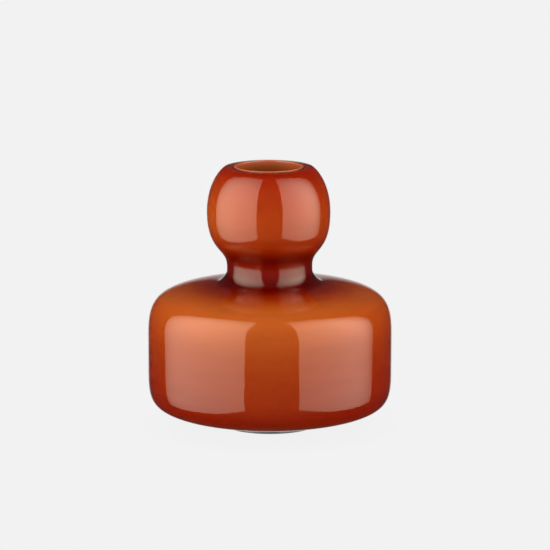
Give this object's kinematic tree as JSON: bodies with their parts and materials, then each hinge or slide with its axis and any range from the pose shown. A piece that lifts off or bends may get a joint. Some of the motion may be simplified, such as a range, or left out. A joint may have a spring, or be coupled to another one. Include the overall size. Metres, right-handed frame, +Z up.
{
  "type": "glass bud vase",
  "caption": "Small amber cased-glass bud vase with a low drum body, short neck and ball-shaped bulb with a wide flat-topped mouth, for a few cut stems.",
  "frame": {"origin": "centre of the foot's underside, where the vase stands", "axes": "+Z up along the vase's axis, out of the mouth; +X and +Y are any two square directions, since the vase is round"},
  "size_m": [0.112, 0.112, 0.12],
  "materials": {
    "amber_glass": "fire-polished, orange at the shoulder and deep red at the neck and underside",
    "pale_glass": "fire-polished pale inner gather",
    "clear_glass": "colourless glass, ground and polished flat underneath"
  },
  "bodies": {
    "root": {"amber_outer_wall": "amber_glass", "pale_inner_lining": "pale_glass", "clear_foot": "clear_glass"}
  },
  "joints": []
}
